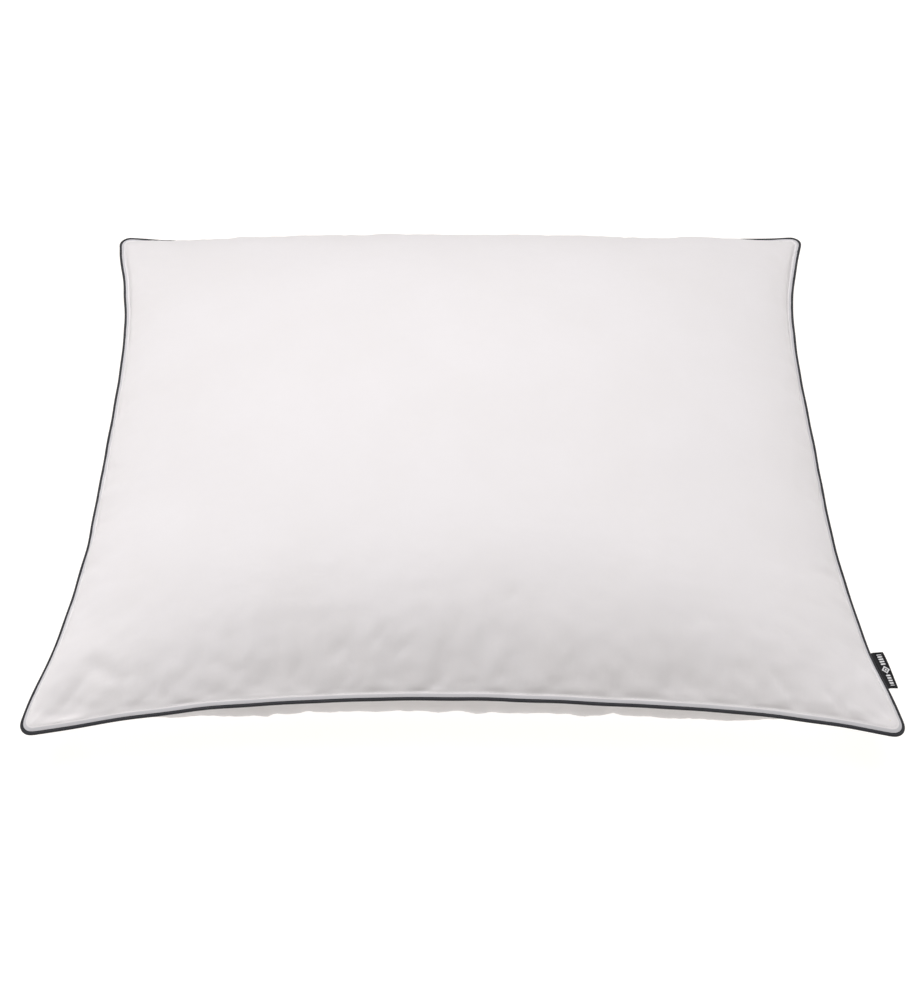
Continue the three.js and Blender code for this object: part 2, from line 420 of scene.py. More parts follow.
def enclosed_volume(case):
    case.data.calc_loop_triangles()
    corners = np.array([triangle.vertices for triangle in case.data.loop_triangles])
    a, b, c = np.moveaxis(points_of(case)[corners], 1, 0)
    return float(np.einsum("ij,ij->i", a, np.cross(b, c)).sum() / 6)


def make_table():
    """A surface for the case to settle on. It's removed after the simulation."""
    bpy.ops.mesh.primitive_plane_add(size=3, location=(0, 0, 0))
    table = bpy.context.object
    table.modifiers.new("table", "COLLISION")
    table.collision.thickness_outer = 0.002
    table.collision.cloth_friction = 20
    return table


def add_cloth(case):
    cloth = case.modifiers.new("cloth", "CLOTH")
    settings = cloth.settings
    settings.quality = 6
    settings.mass = 0.01
    settings.tension_stiffness = 60
    settings.compression_stiffness = 60
    settings.shear_stiffness = 10
    settings.bending_stiffness = 1.3
    settings.tension_damping = 5
    settings.compression_damping = 5
    settings.shear_damping = 5
    settings.bending_damping = 0.5
    settings.air_damping = 5
    settings.vertex_group_mass = "stitched"
    settings.rest_shape_key = case.data.shape_keys.key_blocks["cut"]
    settings.use_pressure = True
    settings.uniform_pressure_force = 0
    settings.use_pressure_volume = True
    settings.target_volume = enclosed_volume(case) * STUFFING
    settings.pressure_factor = 1
    settings.fluid_density = 0
    settings.effector_weights.gravity = 0.03
    cloth.collision_settings.use_collision = True
    cloth.collision_settings.collision_quality = 2
    cloth.collision_settings.distance_min = 0.002


def settled_points(case):
    """Runs the cloth until it has settled and gives back where its vertices lie."""
    scene = bpy.context.scene
    scene.frame_start = 1
    scene.frame_end = SETTLING_FRAMES
    for step in range(1, SETTLING_FRAMES + 1):
        scene.frame_set(step)
    shown = case.evaluated_get(bpy.context.evaluated_depsgraph_get())
    points = points_of(shown).copy()
    scene.frame_set(1)
    return points


def stuff_case():
    """The settled top and bottom surfaces, as grids of points."""
    top, bottom, _ = case_numbers()
    case = make_case()
    table = make_table()
    add_cloth(case)
    points = settled_points(case)
    bpy.data.objects.remove(table)
    bpy.data.objects.remove(case)
    upper = points[top]
    upper[..., 2] -= front_shoulder(GRID)
    lower = points[bottom]
    lowest = lower[..., 2].min()
    seam = swollen(GRID, -1)[..., 2]
    seam[1:-1, 1:-1] = SEAM_HEIGHT
    lower[..., 2] = (lower[..., 2] - lowest) * seam / (seam - lowest)
    return upper, lower


# ---------------------------------------------------------------- the two ticking panels


def depth_inside(flat):
    """How far flat points lie inside the stitch line. It's below zero on the flange."""
    return (STITCH_HALF - np.abs(flat)).min(axis=-1)


def along_edge(flat):
    """A running length along the nearest edge, different on each of the four edges."""
    spare = STITCH_HALF - np.abs(flat)
    by_side = spare[..., 0] < spare[..., 1]
    on_side = flat[..., 1] + 3 * np.sign(flat[..., 0])
    on_front = flat[..., 0] + 7 * np.sign(flat[..., 1])
    return np.where(by_side, on_side, on_front)


def corner_fade(flat):
    """Falls to zero on the diagonals, where one edge's puckers meet the next one's."""
    spare = STITCH_HALF - np.abs(flat)
    return np.clip(np.abs(spare[..., 0] - spare[..., 1]) / 0.012, 0, 1)


def puckers(flat, pitch, height, reach, seed):
    """Small gathers that run in from the stitch line and die away."""
    depth = depth_inside(flat)
    inside = np.maximum(depth, 0)
    along = along_edge(flat)
    lean = 0.35 * noise_along(along / 0.09, seed + 5)
    gathers = noise_along((along + lean * inside) / pitch, seed)
    strength = 0.65 + 0.55 * noise_along(along / 0.075, seed + 9)
    shape = np.exp(-inside / reach) * (1 - np.exp(-inside / 0.003))
    return height * gathers * np.clip(strength, 0.1, 1.4) * shape * corner_fade(flat)


def flange_ripple(flat, height, seed):
    """The slight waves of the flange between the stitch line and the piping."""
    depth = depth_inside(flat)
    outside = np.clip(-depth / FLANGE, 0, 1)
    waves = noise_along(along_edge(flat) / 0.010, seed)
    return height * waves * np.sin(math.pi * outside) * corner_fade(flat)


def pulled_fold(flat, start, end, width, depth):
    """A shallow valley between two points, with a low ridge along each side."""
    start = np.array(start)
    line = np.array(end) - start
    share = ((flat - start) @ line) / (line @ line)
    nearest = start + np.clip(share, 0, 1)[..., None] * line
    off = np.linalg.norm(flat - nearest, axis=-1) / width
    fade = np.exp(-((share - 0.5) / 0.62) ** 4)
    return -depth * (1 - 1.1 * off**2) * np.exp(-(off**2)) * fade


def crumple(flat, height, size, reach):
    """Fine unevenness of the cloth round the filled edge, strongest on the front slope."""
    dents = [noise.fractal(Vector((x / size, y / size, 8.1)), 0.9, 2.0, 3) for x, y in flat]
    depth = np.maximum(depth_inside(flat), 0)
    front_depth = STITCH_HALF[1] + flat[:, 1]
    near_edge = np.exp(-depth / reach) + 0.8 * np.exp(-np.maximum(front_depth, 0) / (2.2 * reach))
    return height * np.array(dents) * near_edge * (1 - np.exp(-depth / 0.004))


def pulled_folds(flat, folds):
    """All of a panel's pulled folds. They stop at the stitch line, so the flange stays flat."""
    rise = np.zeros(len(flat))
    for start, end, width, depth in folds:
        rise += pulled_fold(flat, start, end, width, depth)
    return rise * (1 - np.exp(-np.maximum(depth_inside(flat), 0) / 0.0022))


def soft_dents(flat, height, size, seed):
    """Broad shallow unevenness from the filling."""
    dents = [noise.noise(Vector((x / size, y / size, seed))) for x, y in flat]
    inside = np.clip(depth_inside(flat) / 0.03, 0, 1)
    return height * np.array(dents) * inside


def panel_rows(surface, direction):
    """The flat grid's outline repeated outwards over the flange, with its stuffed places."""
    outline = perimeter(GRID)
    flats = []
    places = []
    for inset, height in FLANGE_ROWS[1:]:
        flat = rounded(outline, FLANGE - inset)
        place = stuffed(flat)
        place[:, 2] += direction * height
        flats.append(flat)
        places.append(place)
    return flats, places


def panel_mesh(name, surface, direction):
    """One panel's middle layer: the settled cloth, with the flange added round it."""
    rows, columns = GRID.shape[:2]
    count = rows * columns
    flats, places = panel_rows(surface, direction)
    core = surface.copy()
    lift = FLANGE_ROWS[0][1] * np.exp(-depth_inside(GRID) / 0.012)
    core[..., 2] += direction * lift
    core[..., 2] = np.maximum(core[..., 2], TICKING / 2)
    flat = np.concatenate([rounded(GRID).reshape(-1, 2), *flats])
    points = np.concatenate([core.reshape(-1, 3), *places])
    numbers = np.arange(count).reshape(rows, columns)
    ring = perimeter(numbers)
    around = [ring] + [count + k * len(ring) + np.arange(len(ring)) for k in range(len(flats))]
    around = np.array(around)
    around = np.concatenate([around, around[:, :1]], axis=1)
    faces = np.concatenate([quads(numbers), quads(around)[:, ::-1]])
    if direction < 0:
        faces = faces[:, ::-1]
    panel = new_mesh(name, points, faces)
    add_pattern(panel, flat)
    insets = np.concatenate([
        np.where(depth_inside(GRID).ravel() < 1e-6, FLANGE, 1.0),
        np.repeat([inset for inset, _ in FLANGE_ROWS[1:]], len(ring)),
    ])
    store(panel, "inset", "FLOAT", insets)
    return panel


def store(piece, name, kind, values):
    attribute = piece.data.attributes.new(name, kind, "POINT")
    field = "value" if kind == "FLOAT" else "vector"
    attribute.data.foreach_set(field, np.asarray(values, np.float32).ravel())


def stored(piece, name, width):
    data = piece.data.attributes[name].data
    values = np.empty(len(data) * width, np.float32)
    data.foreach_get("value" if width == 1 else "vector", values)
    return values.reshape(-1, width) if width > 1 else values


def add_pattern(piece, flat):
    """Keeps each vertex's place on the flat cloth, and lays the UV map out in metres of it."""
    store(piece, "flat", "FLOAT_VECTOR", np.column_stack([flat, np.zeros(len(flat))]))
    uv = piece.data.uv_layers.new(name="cut")
    corner = np.empty(len(piece.data.loops), np.int64)
    piece.data.loops.foreach_get("vertex_index", corner)
    uv.data.foreach_set("uv", (flat * CUT_SCALE)[corner].astype(np.float32).ravel())


def shape_top(panel):
    flat = stored(panel, "flat", 3)[:, :2].astype(float)
    rise = puckers(flat, 0.0115, 0.00120, 0.018, 11)
    rise += puckers(flat, 0.0300, 0.00220, 0.044, 23)
    rise *= 1 - 0.65 * smooth_step(flat[:, 1] / 0.2)
    rise += crumple(flat, 0.0012, 0.016, 0.030)
    rise += soft_dents(flat, 0.0016, 0.085, 3.3)
    rise += pulled_folds(flat, TOP_FOLDS)
    rise = np.maximum(rise, -DEEPEST_DENT) + flange_ripple(flat, 0.00022, 31)
    set_points(panel, points_of(panel) + normals_of(panel) * rise[:, None])


def shape_base(panel):
    flat = stored(panel, "flat", 3)[:, :2].astype(float)
    rise = puckers(flat, 0.0125, 0.00085, 0.016, 43)
    rise += puckers(flat, 0.0360, 0.00220, 0.050, 57)
    rise += crumple(flat, 0.0011, 0.018, 0.030)
    rise += pulled_folds(flat, BASE_FOLDS)
    rise = np.maximum(rise, -DEEPEST_DENT) + flange_ripple(flat, 0.00022, 61)
    points = points_of(panel)
    clear_of_table = np.clip(points[:, 2] / 0.012, 0, 1)
    points += normals_of(panel) * (rise * clear_of_table)[:, None]
    points[:, 2] = np.maximum(points[:, 2], TICKING / 2 + 0.0001)
    set_points(panel, points)


def stitch_row(panel, lift):
    """The panel's own vertices under its top stitching, in order round the pillow."""
    inset = stored(panel, "inset", 1)
    chosen = np.abs(inset - STITCH_INSET) < 1e-5
    flat = stored(panel, "flat", 3)[chosen, :2]
    points = (points_of(panel) + normals_of(panel) * lift)[chosen]
    turn = np.arctan2(flat[:, 1] / STITCH_HALF[1], flat[:, 0] / STITCH_HALF[0])
    return points[np.argsort(turn)]


def make_panel(name, surface, direction, shape):
    panel = panel_mesh(name, surface, direction)
    apply_modifier(panel, "SUBSURF", levels=1, render_levels=1)
    shape(panel)
    stitched = stitch_row(panel, TICKING / 2)
    apply_modifier(panel, "SOLIDIFY", thickness=TICKING, offset=0, use_even_offset=True)
    for attribute in ("flat", "inset"):
        panel.data.attributes.remove(panel.data.attributes[attribute])
    smooth(panel, 60)
    return panel, stitched


# ---------------------------------------------------------------- piping, cord and thread


def new_curve(name, points, closed, dimensions="3D"):
    """A smooth curve through the points."""
    curve = bpy.data.curves.new(name, "CURVE")
    curve.dimensions = dimensions
    curve.twist_mode = "Z_UP"
    spline = curve.splines.new("BEZIER")
    spline.bezier_points.add(len(points) - 1)
    for knot, place in zip(spline.bezier_points, points):
        knot.co = place
        knot.handle_left_type = "AUTO"
        knot.handle_right_type = "AUTO"
    spline.use_cyclic_u = closed
    path = bpy.data.objects.new(name, curve)
    bpy.context.scene.collection.objects.link(path)
    return path


def new_section(name, points):
    """A closed flat outline to carry along a curve. Its x points away from the pillow."""
    curve = bpy.data.curves.new(name, "CURVE")
    curve.dimensions = "2D"
    spline = curve.splines.new("POLY")
    spline.points.add(len(points) - 1)
    for corner, (x, y) in zip(spline.points, points):
        corner.co = (x, y, 0, 1)
    spline.use_cyclic_u = True
    section = bpy.data.objects.new(name, curve)
    bpy.context.scene.collection.objects.link(section)
    return section


def sweep(path, section, steps, capped=False):
    """Carries the section along the path and makes the result a mesh."""
    path.data.bevel_mode = "OBJECT"
    path.data.bevel_object = section
    path.data.resolution_u = steps
    path.data.use_fill_caps = capped
    choose(path)
    bpy.ops.object.convert(target="MESH")
    piece = bpy.context.object
    bpy.data.objects.remove(section)
    face_outwards(piece)
    return piece


def arc(radius, start, end, steps):
    angles = np.linspace(start, end, steps + 1)
    return [(radius * math.cos(angle), radius * math.sin(angle)) for angle in angles]


def sleeve_section():
    """The piping's cloth: wrapped round the cord, with its two cut edges lying in the flange."""
    inner_radius = PIPING_RADIUS - PIPING_CLOTH
    outer_end = math.pi - math.asin(PIPING_TAIL_OUTER / PIPING_RADIUS)
    inner_end = math.pi - math.asin(PIPING_TAIL_INNER / inner_radius)
    return [
        (-PIPING_TAIL, -PIPING_TAIL_OUTER),
        (-PIPING_TAIL / 2, -PIPING_TAIL_OUTER),
        *arc(PIPING_RADIUS, -outer_end, outer_end, 18),
        (-PIPING_TAIL / 2, PIPING_TAIL_OUTER),
        (-PIPING_TAIL, PIPING_TAIL_OUTER),
        (-PIPING_TAIL, PIPING_TAIL_INNER),
        *arc(inner_radius, inner_end, -inner_end, 12),
        (-PIPING_TAIL, -PIPING_TAIL_INNER),
    ]


def make_piping_sleeve():
    path = new_curve("piping_cover", seam_line(0), closed=True)
    for knot, slope in zip(path.data.splines[0].bezier_points, flange_slope(perimeter(GRID))):
        knot.tilt = math.atan(slope)
    sleeve = sweep(path, new_section("sleeve_section", sleeve_section()), steps=3)
    smooth(sleeve, 40)
    return sleeve


def strand_section():
    """Three strands laid together, as one outline with three lobes."""
    points = []
    for step in range(15):
        angle = math.tau * step / 15
        radius = CORD_RADIUS * (0.86 + 0.14 * math.cos(3 * angle))
        points.append((radius * math.cos(angle), radius * math.sin(angle)))
    return points


def make_piping_cord():
    """A three-strand cord. Its two ends meet inside the sleeve."""
    line = seam_line(0)
    line = np.concatenate([line, line[:1]])
    lengths = np.linalg.norm(np.diff(line, axis=0), axis=1)
    travelled = np.concatenate([[0], np.cumsum(lengths)])
    path = new_curve("filler_strands", line, closed=False)
    for knot, distance in zip(path.data.splines[0].bezier_points, travelled):
        knot.tilt = math.tau * distance / CORD_LAY
    path.data.splines[0].tilt_interpolation = "LINEAR"
    cord = sweep(path, new_section("cord_section", strand_section()), steps=6, capped=True)
    smooth(cord, 50)
    return cord


def closed_length(line):
    return float(np.linalg.norm(np.roll(line, -1, axis=0) - line, axis=1).sum())


def make_stitches(name, line, thickness):
    """A run of lockstitches: one stitch, repeated and laid along the line."""
    bpy.ops.object.select_all(action="DESELECT")
    bpy.ops.mesh.primitive_uv_sphere_add(segments=8, ring_count=5, radius=0.5)
    stitches = bpy.context.object
    stitches.name = name
    stitches.data.name = name
    bpy.ops.object.mode_set(mode="EDIT")
    bpy.ops.transform.rotate(
        value=math.pi / 2, orient_axis="Y", center_override=(0, 0, 0)
    )
    bpy.ops.transform.resize(
        value=(STITCH_LENGTH, thickness, thickness), center_override=(0, 0, 0)
    )
    bpy.ops.object.mode_set(mode="OBJECT")
    path = new_curve(name + "_path", line, closed=True)
    path.data.resolution_u = 4
    length = closed_length(line)
    count = round(length / STITCH_PITCH)
    apply_modifier(
        stitches, "ARRAY",
        use_relative_offset=False,
        use_constant_offset=True,
        constant_offset_displace=(length / count, 0, 0),
        count=count,
    )
    apply_modifier(stitches, "CURVE", object=path, deform_axis="POS_X")
    bpy.data.objects.remove(path)
    smooth(stitches, 80)
    return stitches


# ---------------------------------------------------------------- the label


def label_frame():
    """The seam's place, outward direction and direction along it where the label is sewn in."""
    ends = stuffed(np.array([
        (LENGTH / 2, LABEL_CENTRE_Y - LABEL_WIDTH / 2),
        (LENGTH / 2, LABEL_CENTRE_Y + LABEL_WIDTH / 2),
    ]))
    along = Vector(ends[1] - ends[0]).normalized()
    outward = along.cross(Vector((0, 0, 1))).normalized()
    upward = outward.cross(along)
    centre = Vector(ends.mean(axis=0))
    return centre, outward, upward, along


def label_leg():
    """The label's middle line in section, from under the piping to the fold: outward and up."""
    under = [
        (-0.00135, -0.00088),
        (-0.00080, -0.00142),
        (0.00000, -0.00172),
        (0.00090, -0.00150),
        (0.00170, -0.00095),
        (0.00250, -0.00055),
    ]
    reach = LABEL_ROOT + LABEL_REACH - 0.0004
    out = np.linspace(0.0033, reach, 8)
    droop = [(x, -0.00040 - (x - LABEL_ROOT) * math.tan(LABEL_DROOP)) for x in out]
    return np.array(under + droop)


def label_section():
    """Both legs and the fold, as points along the woven strip."""
    line = label_leg()
    tangent = np.gradient(line, axis=0)
    tangent /= np.linalg.norm(tangent, axis=1)[:, None]
    normal = np.column_stack([-tangent[:, 1], tangent[:, 0]])
    gap = 0.00018
    upper = line + normal * gap
    lower = line - normal * gap
    fold = []
    for angle in np.linspace(math.pi / 2, -math.pi / 2, 7)[1:-1]:
        fold.append(line[-1] + gap * (math.cos(angle) * tangent[-1] + math.sin(angle) * normal[-1]))
    return np.concatenate([upper, fold, lower[::-1]])


def make_label():
    """A woven strip folded in half. Its ends are curled a little from handling."""
    centre, outward, upward, along = label_frame()
    section = label_section()
    steps = np.linalg.norm(np.diff(section, axis=0), axis=1)
    travelled = np.concatenate([[0], np.cumsum(steps)])
    places = np.linspace(-0.5, 0.5, 19)
    points = []
    flat = []
    for place in places:
        for (out, up), woven in zip(section, travelled):
            free = max(0.0, out - LABEL_ROOT) / LABEL_REACH
            curl = 0.0011 * free * (place * 2) ** 2 - 0.0005 * free * math.sin(5 * place)
            out += LABEL_SKEW * free * place
            point = centre + outward * out + upward * (up - curl) + along * (place * LABEL_WIDTH)
            points.append(point[:])
            flat.append((place * LABEL_WIDTH, woven - travelled[-1] / 2))
    numbers = np.arange(len(points)).reshape(len(places), len(section))
    label = new_mesh("label_strip", points, quads(numbers))
    uv = label.data.uv_layers.new(name="cut")
    for loop in label.data.loops:
        uv.data[loop.index].uv = flat[loop.vertex_index]
    apply_modifier(label, "SOLIDIFY", thickness=LABEL_CLOTH, offset=0)
    apply_modifier(label, "SUBSURF", levels=1, render_levels=1)
    smooth(label, 60)
    return label


# ---------------------------------------------------------------- the filling


def make_filling(upper, lower):
    """Loose down, as one lumpy body just inside the case."""
    top, bottom, inside = case_numbers()
    points = np.concatenate([upper.reshape(-1, 3), lower[inside]])
    faces = np.concatenate([quads(top), quads(bottom)[:, ::-1]])
    filling = new_mesh("down_filling", points, faces)
    lumps = [noise.noise(Vector(point) / 0.024) for point in points]
    depth = FILLING_DEPTH + FILLING_LUMPS * np.array(lumps)
    moved = points_of(filling) - normals_of(filling) * depth[:, None]
    ring = perimeter(top)
    inwards = points[ring] * np.array([1, 1, 0])
    inwards /= np.linalg.norm(inwards, axis=1)[:, None]
    moved[ring] = points[ring] - inwards * 0.0022
    moved[:, 2] = np.maximum(moved[:, 2], 0.0012)
    set_points(filling, moved)
    smooth(filling, 60)
    return filling


# ---------------------------------------------------------------- material building blocks


def link(tree, value, socket):
    """Feeds a socket from another one, or sets it to a plain value."""
    if isinstance(value, bpy.types.NodeSocket):
        tree.links.new(value, socket)
    else:
        socket.default_value = value


def add_node(tree, kind, values=None, **settings):
    made = tree.nodes.new(kind)
    for name, value in settings.items():
        setattr(made, name, value)
    for key, value in (values or {}).items():
        link(tree, value, made.inputs[key])
    return made


def maths(tree, operation, first, second=0.0, third=0.0):
    return add_node(
        tree, "ShaderNodeMath", {0: first, 1: second, 2: third}, operation=operation
    ).outputs[0]


def colour_mix(tree, amount, first, second):
    mixed = tree.nodes.new("ShaderNodeMix")
    mixed.data_type = "RGBA"
    link(tree, amount, mixed.inputs[0])
    link(tree, first, mixed.inputs[6])
    link(tree, second, mixed.inputs[7])
    return mixed.outputs[2]


def new_group(name, inputs, outputs):
    """A shader node group with named sockets, and its input and output nodes."""
    tree = bpy.data.node_groups.new(name, "ShaderNodeTree")
    for label, kind, default in inputs:
        socket = tree.interface.new_socket(name=label, in_out="INPUT", socket_type=kind)
        if default is not None:
            socket.default_value = default
    for label, kind in outputs:
        tree.interface.new_socket(name=label, in_out="OUTPUT", socket_type=kind)
    return tree, tree.nodes.new("NodeGroupInput").outputs, tree.nodes.new("NodeGroupOutput").inputs


def use_group(tree, group, values):
    placed = tree.nodes.new("ShaderNodeGroup")
    placed.node_tree = group
    for key, value in values.items():
        link(tree, value, placed.inputs[key])
    return placed.outputs


def plain_weave_group():
    """Over-and-under threads. Height is the threads' relief, and the gap output is 1 between them: a mask for
    painted shade in the recesses between threads.
    """
    tree, given, result = new_group(
        "plain_weave",
        [
            ("Vector", "NodeSocketVector", None),
            ("Thread Pitch", "NodeSocketFloat", 0.0003),
            ("Unevenness", "NodeSocketFloat", 0.1),
        ],
        [("Height", "NodeSocketFloat"), ("Gap Shade", "NodeSocketFloat")],
    )
    wander = add_node(
        tree, "ShaderNodeTexNoise", {"Vector": given["Vector"], "Scale": 420.0, "Detail": 2.0}
    ).outputs["Color"]
    centred = add_node(
        tree, "ShaderNodeVectorMath", {0: wander, 1: (0.5, 0.5, 0.5)}, operation="SUBTRACT"
    ).outputs[0]
    scaled = add_node(
        tree, "ShaderNodeVectorMath",
        {0: given["Vector"], 3: maths(tree, "DIVIDE", 1.0, given["Thread Pitch"])},
        operation="SCALE",
    ).outputs[0]
    slubs = add_node(
        tree, "ShaderNodeVectorMath", {0: centred, 3: given["Unevenness"]}, operation="SCALE"
    ).outputs[0]
    bent = add_node(
        tree, "ShaderNodeVectorMath", {0: scaled, 1: slubs}, operation="ADD"
    ).outputs[0]
    axes = add_node(tree, "ShaderNodeSeparateXYZ", {0: bent}).outputs
    warp = thread_height(tree, axes["X"], axes["Y"], 0.0)
    weft = thread_height(tree, axes["Y"], axes["X"], 1.0)
    height = maths(tree, "MAXIMUM", warp, weft)
    link(tree, height, result["Height"])
    # Painted shade: the gap output marks the recesses between threads, which the materials paint darker.
    gaps = maths(tree, "SUBTRACT", 1.0, maths(tree, "MULTIPLY", height, 1.6))
    link(tree, maths(tree, "MAXIMUM", gaps, 0.0), result["Gap Shade"])
    return tree


def thread_height(tree, across, along, start):
    """One set of threads: round across, and going over and under along its length."""
    rounded_across = maths(tree, "ABSOLUTE", maths(tree, "SINE", maths(tree, "MULTIPLY", across, math.pi)))
    which = maths(tree, "ADD", maths(tree, "FLOOR", across), start)
    phase = maths(tree, "MULTIPLY", maths(tree, "ADD", along, which), math.pi)
    over = maths(tree, "MULTIPLY_ADD", maths(tree, "SINE", phase), 0.5, 0.5)
    return maths(tree, "MULTIPLY", rounded_across, over)


def cloth_tone_group():
    """Slow changes of tone over a cloth, from 0 to 1, with a little finer mottling."""
    tree, given, result = new_group(
        "cloth_tone",
        [("Vector", "NodeSocketVector", None), ("Size", "NodeSocketFloat", 0.1)],
        [("Tone", "NodeSocketFloat"), ("Mottle", "NodeSocketFloat")],
    )
    scale = maths(tree, "DIVIDE", 1.0, given["Size"])
    slow = add_node(
        tree, "ShaderNodeTexNoise",
        {"Vector": given["Vector"], "Scale": scale, "Detail": 3.0, "Roughness": 0.55},
    ).outputs["Fac"]
    fine = add_node(
        tree, "ShaderNodeTexNoise",
        {"Vector": given["Vector"], "Scale": maths(tree, "MULTIPLY", scale, 14.0), "Detail": 4.0},
    ).outputs["Fac"]
    link(tree, stretched_contrast(tree, slow, 0.34, 0.66), result["Tone"])
    link(tree, stretched_contrast(tree, fine, 0.30, 0.70), result["Mottle"])
    return tree


def stretched_contrast(tree, value, low, high):
    return add_node(
        tree, "ShaderNodeMapRange", {"Value": value, "From Min": low, "From Max": high}, clamp=True
    ).outputs["Result"]


PLAIN_WEAVE = plain_weave_group()
CLOTH_TONE = cloth_tone_group()


def new_material(name):
    """An empty node material, with its surface shader and tree."""
    material = bpy.data.materials.new(name)
    material.use_nodes = True
    tree = material.node_tree
    return material, tree, tree.nodes["Principled BSDF"]


def bump(tree, height, distance, strength, under=None):
    values = {"Height": height, "Distance": distance, "Strength": strength}
    if under is not None:
        values["Normal"] = under
    return add_node(tree, "ShaderNodeBump", values).outputs["Normal"]


def uv_map(tree, name):
    return add_node(tree, "ShaderNodeUVMap", uv_map=name).outputs["UV"]


def mapped(tree, vector, scale=(1, 1, 1), turn=0.0):
    return add_node(
        tree, "ShaderNodeMapping", {"Vector": vector, "Scale": scale, "Rotation": (0, 0, turn)}
    ).outputs["Vector"]


# ---------------------------------------------------------------- finishes

TICKING_LIGHT = (0.835, 0.815, 0.822, 1)
TICKING_SHADE = (0.795, 0.772, 0.768, 1)
# Painted shade for the recesses between the ticking's threads.
TICKING_GAP_SHADE = (0.70, 0.675, 0.665, 1)
TICKING_OVER_PIPING = (0.32, 0.34, 0.38, 1)
PIPING_SHOW_THROUGH = 0.40


def seam_distance(tree, cloth):
    """How far a place on the cut cloth lies in from the seam."""
    middle = (CUT_LENGTH / 2 - CORNER_RADIUS, CUT_WIDTH / 2 - CORNER_RADIUS, 0)
    folded = add_node(tree, "ShaderNodeVectorMath", {0: cloth}, operation="ABSOLUTE").outputs[0]
    beyond = add_node(
        tree, "ShaderNodeVectorMath", {0: folded, 1: middle}, operation="SUBTRACT"
    ).outputs[0]
    corner = add_node(
        tree, "ShaderNodeVectorMath", {0: beyond, 1: (0, 0, 0)}, operation="MAXIMUM"
    ).outputs[0]
    reach = add_node(tree, "ShaderNodeVectorMath", {0: corner}, operation="LENGTH").outputs["Value"]
    axes = add_node(tree, "ShaderNodeSeparateXYZ", {0: beyond}).outputs
    within_straights = maths(tree, "MINIMUM", maths(tree, "MAXIMUM", axes["X"], axes["Y"]), 0.0)
    return maths(tree, "SUBTRACT", CORNER_RADIUS, maths(tree, "ADD", reach, within_straights))


def ticking_material():
    """Downproof cotton: a close plain weave with small creases. The piping's tails show through."""
    material, tree, surface = new_material("ticking_cotton")
    cloth = uv_map(tree, "cut")
    weave = use_group(tree, PLAIN_WEAVE, {"Vector": cloth, "Thread Pitch": 0.00032, "Unevenness": 0.35})
    tone = use_group(tree, CLOTH_TONE, {"Vector": cloth, "Size": 0.11})
    colour = colour_mix(tree, maths(tree, "MULTIPLY", tone["Tone"], 0.45), TICKING_LIGHT, TICKING_SHADE)
    colour = colour_mix(tree, maths(tree, "MULTIPLY", tone["Mottle"], 0.12), colour, TICKING_SHADE)
    # Painted shade between the threads: the weave's gaps are painted darker.
    colour = colour_mix(tree, maths(tree, "MULTIPLY", weave["Gap Shade"], 0.35), colour, TICKING_GAP_SHADE)
    over_tail = add_node(
        tree, "ShaderNodeMapRange",
        {
            "Value": seam_distance(tree, cloth),
            "From Min": PIPING_TAIL + 0.0004,
            "From Max": PIPING_TAIL - 0.0004,
            "To Max": PIPING_SHOW_THROUGH,
        },
        interpolation_type="SMOOTHSTEP",
    ).outputs["Result"]
    colour = colour_mix(tree, over_tail, colour, TICKING_OVER_PIPING)
    link(tree, colour, surface.inputs["Base Color"])
    rough = maths(tree, "MULTIPLY_ADD", tone["Mottle"], 0.10, 0.78)
    link(tree, rough, surface.inputs["Roughness"])
    crumple = add_node(
        tree, "ShaderNodeTexNoise",
        {"Vector": mapped(tree, cloth, (1.0, 1.35, 1.0), 0.4), "Scale": 62.0, "Detail": 5.0, "Distortion": 0.6},
    ).outputs["Fac"]
    lying = bump(tree, crumple, 0.0012, 0.16)
    link(tree, bump(tree, weave["Height"], 0.00005, 0.35, lying), surface.inputs["Normal"])
    surface.inputs["Sheen Weight"].default_value = 0.18
    surface.inputs["Sheen Roughness"].default_value = 0.45
    surface.inputs["Specular IOR Level"].default_value = 0.30
    return material


def piping_material():
    """Charcoal cotton cut on the bias, with tone that varies at random."""
    material, tree, surface = new_material("piping_cotton")
    cloth = mapped(tree, uv_map(tree, "UVMap"), (2.52, 0.034, 1.0))
    weave = use_group(
        tree, PLAIN_WEAVE,
        {"Vector": mapped(tree, cloth, turn=math.pi / 4), "Thread Pitch": 0.00036, "Unevenness": 0.4},
    )
    tone = use_group(tree, CLOTH_TONE, {"Vector": cloth, "Size": 0.03})
    colour = colour_mix(tree, maths(tree, "MULTIPLY", tone["Tone"], 0.6), (0.030, 0.031, 0.036, 1), (0.047, 0.048, 0.054, 1))
    # Painted shade between the threads: the weave's gaps are painted near black.
    colour = colour_mix(tree, maths(tree, "MULTIPLY", weave["Gap Shade"], 0.6), colour, (0.010, 0.010, 0.012, 1))
    link(tree, colour, surface.inputs["Base Color"])
    link(tree, maths(tree, "MULTIPLY_ADD", tone["Mottle"], 0.1, 0.72), surface.inputs["Roughness"])
    link(tree, bump(tree, weave["Height"], 0.00008, 0.5), surface.inputs["Normal"])
    surface.inputs["Sheen Weight"].default_value = 0.12
    surface.inputs["Sheen Roughness"].default_value = 0.5
    surface.inputs["Specular IOR Level"].default_value = 0.30
    return material


